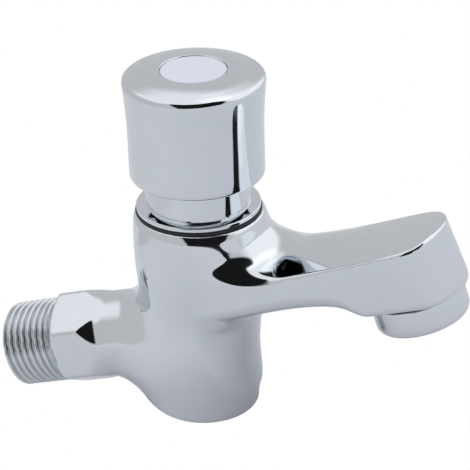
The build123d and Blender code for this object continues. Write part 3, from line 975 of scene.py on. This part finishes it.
# %% Finishes on pieces
def dress(piece, material):
    """Gives every material slot of a piece one finish."""
    if not piece.data.materials:
        piece.data.materials.append(material)
    for number in range(len(piece.material_slots)):
        piece.material_slots[number].material = material


for piece, material in ((cast_body, cast_chrome), (cap, turned_chrome), (sleeve, turned_chrome),
                        (nozzle, turned_chrome), (thread, finishes["thread_chrome"]),
                        (ring, finishes["black_rubber"]), (disc, finishes["pale_disc"])):
    dress(piece, material)
finishes["cast_chrome"] = cast_chrome
slot_of = {entry["node"]: entry["material_slot"] for entry in frame["record"]["subparts"]}
for name, node in nodes.items():
    dress(node, finishes.get(slot_of[name], turned_chrome))
print("dressed solids:", len(nodes))

# %% [markdown]
# ## A white studio
# Polished metal shows the room and not itself, so the room is part of the finish. It is
# written into the world by direction, as a few soft cards: each card is a patch of sky
# with a brightness. Only mirrored rays see the cards. The camera itself sees plain white,
# and all other rays find an even pale grey.

# %% Directions in the sky
DEGREE = 180 / math.pi
world = bpy.data.worlds.new("studio")
bpy.context.scene.world = world
world.use_nodes = True
world.node_tree.nodes.clear()
sky = Sheet(world.node_tree)
looked_at = sky.node("ShaderNodeTexCoord", output="Generated")


def toward(vector):
    """How far the looked-at direction points along a vector, from -1 to 1."""
    return sky.node("ShaderNodeVectorMath", {"operation": "DOT_PRODUCT"},
                    {0: looked_at, 1: vector}, "Value")


elevation = sky.maths("ARCSINE", toward((0, 0, 1))) * DEGREE
azimuth = sky.maths("ARCTAN2", toward((0, 1, 0)), toward((1, 0, 0))) * DEGREE
print("nodes for the directions:", len(sky.tree.nodes))

# %% [markdown]
# ## The cards
# A bright card hangs overhead and a wide, brighter one stands on the spout's side, as the
# lit walls of a tent. A black card stands on the camera's side. It gives the metal its
# dark, flowing shapes, reaches a little below the horizon, and its right edge leans.


# %% Cards in the sky
def soft_step(value, low, high):
    """Rises from 0 at low to 1 at high, softly."""
    return sky.node("ShaderNodeMapRange", {"interpolation_type": "SMOOTHSTEP"},
                    {"Value": value, "From Min": low, "From Max": high})


def edge(value, place, soft):
    """Soft edge of a card: 0 before the place and 1 past it."""
    return soft_step(value, place - soft, place + soft)


def card(left, right, low, high, soft, lean=0.0):
    """Patch between two azimuths and two elevations, in degrees, with a leaning right edge."""
    across = edge(azimuth, left, soft) * (1 - edge(azimuth - elevation * lean, right, soft))
    upward = edge(elevation, low, soft) * (1 - edge(elevation, high, soft))
    return across * upward


overhead = soft_step(elevation, 44, 60)
tent_side = card(-4, 78, -4, 64, 10.0)
dark_card = card(-96, -22, -13, 60, 3.0, 0.55)
level = 0.60 + overhead * 0.36 + tent_side * 0.48
level = level * (1 - dark_card * 0.985)
print("nodes with the cards:", len(sky.tree.nodes))

# %% [markdown]
# ## What each ray sees
# The path of a ray says what it is for. A ray from the camera gets white, a mirrored ray
# gets the cards with a slightly cool tint, and any other ray gets the even grey.

# %% World output
WHITE = 1, 1, 1, 1
EVEN_GREY = 0.78, 0.79, 0.80, 1
SKY_TINT = 0.985, 1.0, 1.02


def seen_directly(sheet):
    """One for rays from the camera, also through clear material, and otherwise zero."""
    return (sheet.node("ShaderNodeLightPath", output="Is Camera Ray")
            + sheet.node("ShaderNodeLightPath", output="Is Transmission Ray")).clamped()


glossy_sky = sky.node("ShaderNodeCombineColor", None,
                      {number: level * part for number, part in enumerate(SKY_TINT)})
glossy = sky.node("ShaderNodeLightPath", output="Is Glossy Ray")
around = mixed(sky, glossy, EVEN_GREY, glossy_sky)
shown = mixed(sky, seen_directly(sky), around, WHITE)
backdrop = sky.node("ShaderNodeBackground", None, {"Color": shown, "Strength": 1.0})
sky.node("ShaderNodeOutputWorld", None, {"Surface": backdrop}, None)
print("world nodes:", len(sky.tree.nodes))

# %% [markdown]
# ## Floor
# A pale floor lies just under the foot and brightens the undersides in the polished
# metal. It ends a short way in front of the tap, because the black card has to show
# below the horizon too. To the camera it glows plain white like the backdrop.

# %% Floor
FLOOR_LEVEL = -0.0262
FLOOR_NEAR = -0.36
FLOOR_REACH = 1.5
FLOOR_GREY = 0.74, 0.75, 0.77, 1
corners = [(-FLOOR_REACH, FLOOR_NEAR, FLOOR_LEVEL), (FLOOR_REACH, FLOOR_NEAR, FLOOR_LEVEL),
           (FLOOR_REACH, FLOOR_REACH, FLOOR_LEVEL), (-FLOOR_REACH, FLOOR_REACH, FLOOR_LEVEL)]
floor_mesh = bpy.data.meshes.new("floor")
floor_mesh.from_pydata(corners, [], [(0, 1, 2, 3)])
floor = bpy.data.objects.new("floor", floor_mesh)
bpy.context.scene.collection.objects.link(floor)
floor_material, floor_sheet = new_finish("pale_floor")
matt = floor_sheet.node("ShaderNodeBsdfDiffuse", None, {"Color": FLOOR_GREY, "Roughness": 1.0})
glow = floor_sheet.node("ShaderNodeEmission", None, {"Color": WHITE, "Strength": 1.0})
laid = floor_sheet.node("ShaderNodeMixShader", None,
                        {0: seen_directly(floor_sheet), 1: matt, 2: glow})
floor_sheet.node("ShaderNodeOutputMaterial", None, {"Surface": laid}, None)
floor.data.materials.append(floor_material)
print("floor:", round(-FLOOR_LEVEL / MM, 1), "mm under the inlet axis")

# %% [markdown]
# ## Lamp
# One large lamp above gives the plastics and the rubber their shape. It is hidden from
# mirrored rays, because the cards already are what the chrome shows.

# %% Lamp
lamp_data = bpy.data.lights.new("overhead", "AREA")
lamp_data.energy = 1.6
lamp_data.size = 0.7
lamp = bpy.data.objects.new("overhead", lamp_data)
lamp_place = Matrix.Translation((0.15, -0.1, 0.75))
lamp_tilt = Matrix.Rotation(0.15, 4, "X")
lamp.matrix_world = lamp_place @ lamp_tilt
lamp.visible_glossy = False
bpy.context.scene.collection.objects.link(lamp)
print("lamp:", lamp_data.energy, "W, hidden from mirrored rays")

# %% [markdown]
# ## Camera
# The camera has the photograph's own viewing angle. Its slight roll comes from the tap
# having stood upright on its barrel when the picture was taken.

# %% Camera
SENSOR = 36.0
FOCAL_PIXELS = 2600
PHOTO_PIXELS = 470
CAMERA_PLACE = Vector((334.7457, -513.5095, 232.0954)) * MM
right = Vector((0.88377572, 0.36265625, -0.2956703))
up = Vector((0.12128582, 0.43274737, 0.89331935))
back = right.cross(up).normalized()
turned = Matrix((right, up, back)).transposed().to_4x4()
camera_data = bpy.data.cameras.new("photo_view")
camera_data.sensor_width = SENSOR
camera_data.lens = SENSOR * FOCAL_PIXELS / PHOTO_PIXELS
camera = bpy.data.objects.new("photo_view", camera_data)
camera.matrix_world = Matrix.Translation(CAMERA_PLACE) @ turned
bpy.context.scene.collection.objects.link(camera)
bpy.context.scene.camera = camera
bpy.context.scene.view_settings.view_transform = "Standard"
print("camera looks along", [round(c, 3) for c in -back])

# %% [markdown]
# ## End of the scene

# %% End of the scene
print("scene built")
